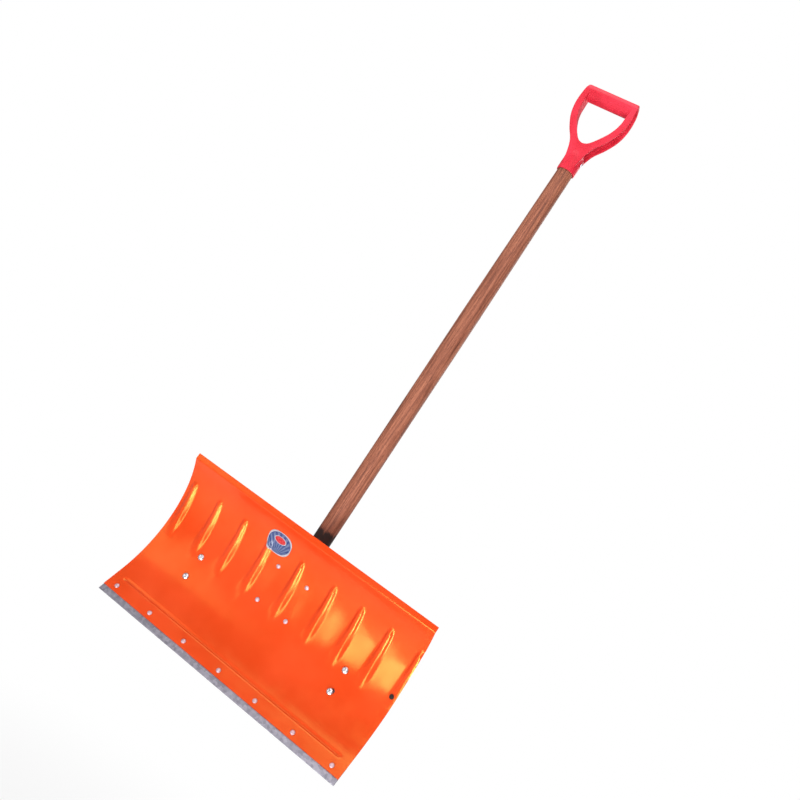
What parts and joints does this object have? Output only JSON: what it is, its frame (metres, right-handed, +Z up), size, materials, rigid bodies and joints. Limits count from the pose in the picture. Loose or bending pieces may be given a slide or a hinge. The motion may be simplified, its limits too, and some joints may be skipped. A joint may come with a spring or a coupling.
{
  "type": "snow shovel",
  "caption": "Snow shovel with a wide curved ribbed steel blade, riveted wear strip, rear clamp and rod braces, straight wooden handle and moulded D-grip.",
  "frame": {"origin": "underside of the grip bar, on the handle's axis, where the shovel hangs on a hook", "axes": "+Z up along the handle towards the grip; -Y the way the blade's concave face looks; +X to the right seen from the concave side"},
  "size_m": [0.6, 0.1319, 1.4256],
  "materials": {
    "orange_paint": "glossy orange enamel on pressed sheet steel",
    "galvanised": "galvanised steel, slightly dull and scuffed",
    "zinc": "bright zinc plating",
    "black_paint": "satin black paint over steel",
    "wood": "reddish brown stained hardwood, satin varnish",
    "red_plastic": "moulded red plastic, satin",
    "black_plastic": "black plastic, satin",
    "label": "printed film, glossy"
  },
  "bodies": {
    "root": {"blade_sheet": "orange_paint", "wear_strip": "galvanised", "edge_rivet_1": "zinc", "edge_rivet_2": "zinc", "edge_rivet_3": "zinc", "edge_rivet_4": "zinc", "edge_rivet_5": "zinc", "edge_rivet_6": "zinc", "edge_rivet_7": "zinc", "handle_clamp": "black_paint", "clamp_rivet_1": "zinc", "clamp_rivet_2": "zinc", "clamp_rivet_3": "zinc", "clamp_rivet_4": "zinc", "clamp_screw_1": "zinc", "clamp_screw_2": "zinc", "left_brace": "black_paint", "right_brace": "black_paint", "brace_bolt_1": "zinc", "brace_washer_1": "zinc", "brace_nut_1": "zinc", "brace_bolt_2": "zinc", "brace_washer_2": "zinc", "brace_nut_2": "zinc", "brace_bolt_3": "zinc", "brace_washer_3": "zinc", "brace_nut_3": "zinc", "brace_bolt_4": "zinc", "brace_washer_4": "zinc", "brace_nut_4": "zinc", "cross_bolt": "zinc", "cross_washer_left": "zinc", "cross_washer_right": "zinc", "cross_nut": "zinc", "wooden_handle": "wood", "d_grip": "red_plastic", "grip_screw": "zinc", "hole_plug": "black_plastic", "label": "label"}
  },
  "joints": []
}
